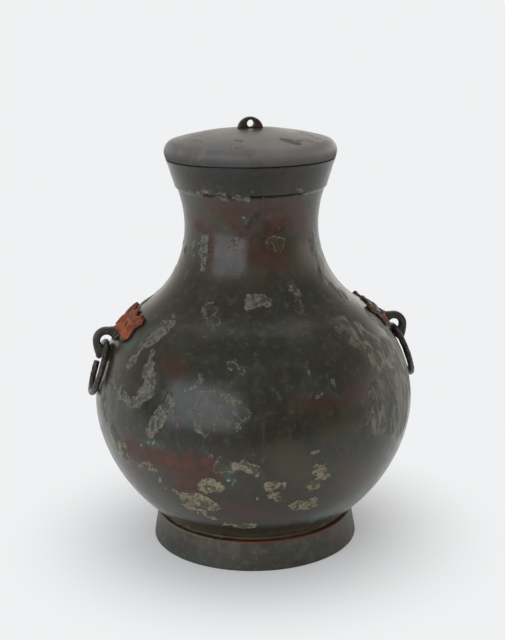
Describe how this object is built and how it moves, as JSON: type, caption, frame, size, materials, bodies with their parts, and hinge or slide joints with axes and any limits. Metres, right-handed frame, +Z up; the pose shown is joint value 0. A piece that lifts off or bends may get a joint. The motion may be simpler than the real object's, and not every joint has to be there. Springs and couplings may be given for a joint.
{
  "type": "lidded bronze vessel",
  "caption": "Lidded bronze wine vessel with a round belly, flared neck and ring foot; beast-mask handles on the shoulder carry loose rings, and the lid lifts off by a small loop.",
  "frame": {"origin": "middle of the foot's base, on the surface that the vessel stands on", "axes": "+Z up along the vessel's axis, the handles along X, +Y away from the side that faces the viewer"},
  "size_m": [0.2894, 0.2769, 0.3701],
  "materials": {
    "body_bronze": "dark grey-green patina, semi-gloss, with pale crusts",
    "foot_bronze": "dark patina, worn edge, green specks",
    "foot_solder": "dull red-brown seam",
    "lid_bronze": "smooth grey patina, semi-gloss",
    "loop_bronze": "smooth grey patina, red-brown at the roots",
    "mask_bronze": "red-brown encrusted patina",
    "ring_bronze": "dark brown patina, semi-gloss"
  },
  "bodies": {
    "vessel": {"vessel_body": "body_bronze", "foot_ring": "foot_bronze", "foot_solder": "foot_solder", "left_mask": "mask_bronze", "right_mask": "mask_bronze"},
    "lid": {"lid": "lid_bronze", "lid_loop": "loop_bronze"},
    "left_ring": {"left_ring": "ring_bronze"},
    "right_ring": {"right_ring": "ring_bronze"}
  },
  "joints": [
    {"name": "lid_lift", "type": "slide", "parent": "vessel", "child": "lid", "axis": [0, 0, 1], "range_m": [0, 0.15]},
    {"name": "left_ring_swing", "type": "hinge", "parent": "vessel", "child": "left_ring", "pos_m": [-0.12717, 0, 0.18195], "axis": [0, 1, 0], "range_deg": [0, 185]},
    {"name": "right_ring_swing", "type": "hinge", "parent": "vessel", "child": "right_ring", "pos_m": [0.12717, 0, 0.18195], "axis": [0, -1, 0], "range_deg": [0, 185]}
  ]
}
